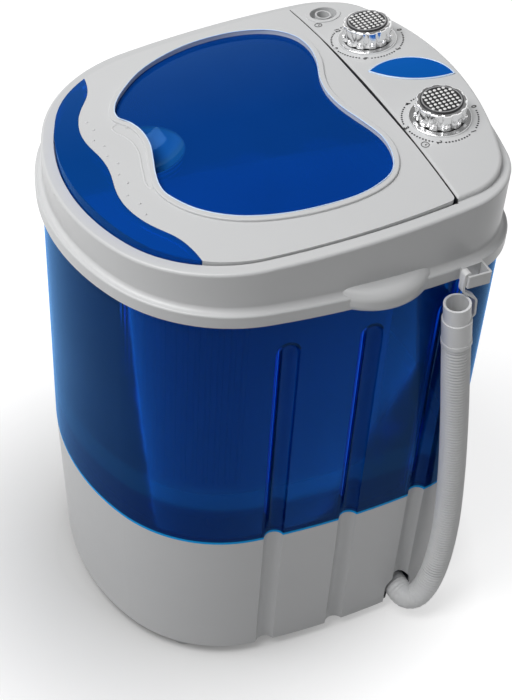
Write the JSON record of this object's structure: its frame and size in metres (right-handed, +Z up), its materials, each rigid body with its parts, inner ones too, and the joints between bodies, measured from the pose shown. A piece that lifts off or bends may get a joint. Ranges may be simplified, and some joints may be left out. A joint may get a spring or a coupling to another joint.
{
  "type": "mini washing machine",
  "caption": "Small top-loading washing machine: white base and top frame, clear blue casing round a tub, hinged lid with a tinted window, timer dials, water inlet and ribbed drain hose.",
  "frame": {"origin": "on the floor, under the middle of the machine without its hose", "axes": "+Z up, the rounded front faces -Y, the control panel is at +Y, the hose side is +X"},
  "size_m": [0.3952, 0.3855, 0.5472],
  "materials": {
    "white_shell": "smooth satin moulded white",
    "clear_blue": "clear tinted, polished",
    "tub_blue": "milky tinted, satin",
    "light_grey_plastic": "satin",
    "grey_plastic": "matte",
    "black_plastic": "matte",
    "rubber_black": "matte",
    "chrome_plate": "bright chrome plate on plastic",
    "satin_silver": "satin silver plate on plastic",
    "hose_grey": "satin, flexible",
    "steel": "zinc plated",
    "brass_bush": "sintered",
    "motor_paint": "painted"
  },
  "bodies": {
    "machine": {"base_housing": "white_shell", "bottom_plate": "grey_plastic", "base_screws": "steel", "foot_front_left": "light_grey_plastic", "foot_front_right": "light_grey_plastic", "foot_rear_left": "light_grey_plastic", "foot_rear_right": "light_grey_plastic", "cord_gland": "black_plastic", "outer_casing": "clear_blue", "wash_tub": "tub_blue", "tub_skirt": "tub_blue", "filter_cover": "light_grey_plastic", "top_frame": "white_shell", "hinge_pin_left": "steel", "hinge_pin_right": "steel", "grip_left": "white_shell", "grip_right": "white_shell", "hose_bracket": "white_shell", "control_panel": "white_shell", "panel_window": "clear_blue", "inlet_cup": "white_shell", "inlet_pipe": "light_grey_plastic", "wash_timer": "grey_plastic", "spin_timer": "grey_plastic", "wash_knob_bezel": "satin_silver", "spin_knob_bezel": "satin_silver", "bearing_housing": "grey_plastic", "upper_bush": "brass_bush", "lower_bush": "brass_bush", "shaft_seal": "rubber_black", "drive_belt": "rubber_black", "motor_housing": "motor_paint", "motor_bracket": "steel", "motor_screws": "steel", "motor_mounts": "rubber_black", "run_capacitor": "light_grey_plastic", "capacitor_clip": "steel", "drain_pipe": "light_grey_plastic", "hose_clamp": "steel", "drain_hose": "hose_grey", "hose_cuff": "hose_grey", "hose_hook": "hose_grey"},
    "lid": {"lid_frame": "white_shell", "lid_window": "clear_blue", "lid_crescent": "clear_blue"},
    "wash_knob": {"wash_knob": "chrome_plate", "wash_knob_cap": "satin_silver", "wash_timer_shaft": "light_grey_plastic"},
    "spin_knob": {"spin_knob": "chrome_plate", "spin_knob_cap": "satin_silver", "spin_timer_shaft": "light_grey_plastic"},
    "pulsator": {"pulsator": "white_shell", "pulsator_shaft": "steel", "pulsator_screw": "light_grey_plastic", "driven_pulley": "grey_plastic"},
    "rotor": {"motor_shaft": "steel", "motor_pulley": "light_grey_plastic", "motor_fan": "grey_plastic"}
  },
  "joints": [
    {"name": "lid_hinge", "type": "hinge", "parent": "machine", "child": "lid", "pos_m": [0, 0.0806, 0.5134], "axis": [-1, 0, 0], "range_deg": [0, 105]},
    {"name": "wash_knob_turn", "type": "hinge", "parent": "machine", "child": "wash_knob", "pos_m": [-0.0665, 0.1343, 0.52563], "axis": [0.0532, 0.0992, -0.9936], "range_deg": [0, 300]},
    {"name": "spin_knob_turn", "type": "hinge", "parent": "machine", "child": "spin_knob", "pos_m": [0.0665, 0.1343, 0.52563], "axis": [-0.0532, 0.0992, -0.9936], "range_deg": [0, 300]},
    {"name": "pulsator_spin", "type": "hinge", "parent": "machine", "child": "pulsator", "pos_m": [0, -0.046, 0.19], "axis": [0, 0, 1], "continuous": true},
    {"name": "motor_spin", "type": "hinge", "parent": "machine", "child": "rotor", "pos_m": [0, 0.044, 0.08], "axis": [0, 0, 1], "continuous": true}
  ],
  "couplings": [
    {"joint": "motor_spin", "follows": "pulsator_spin", "ratio": 5.0833}
  ]
}
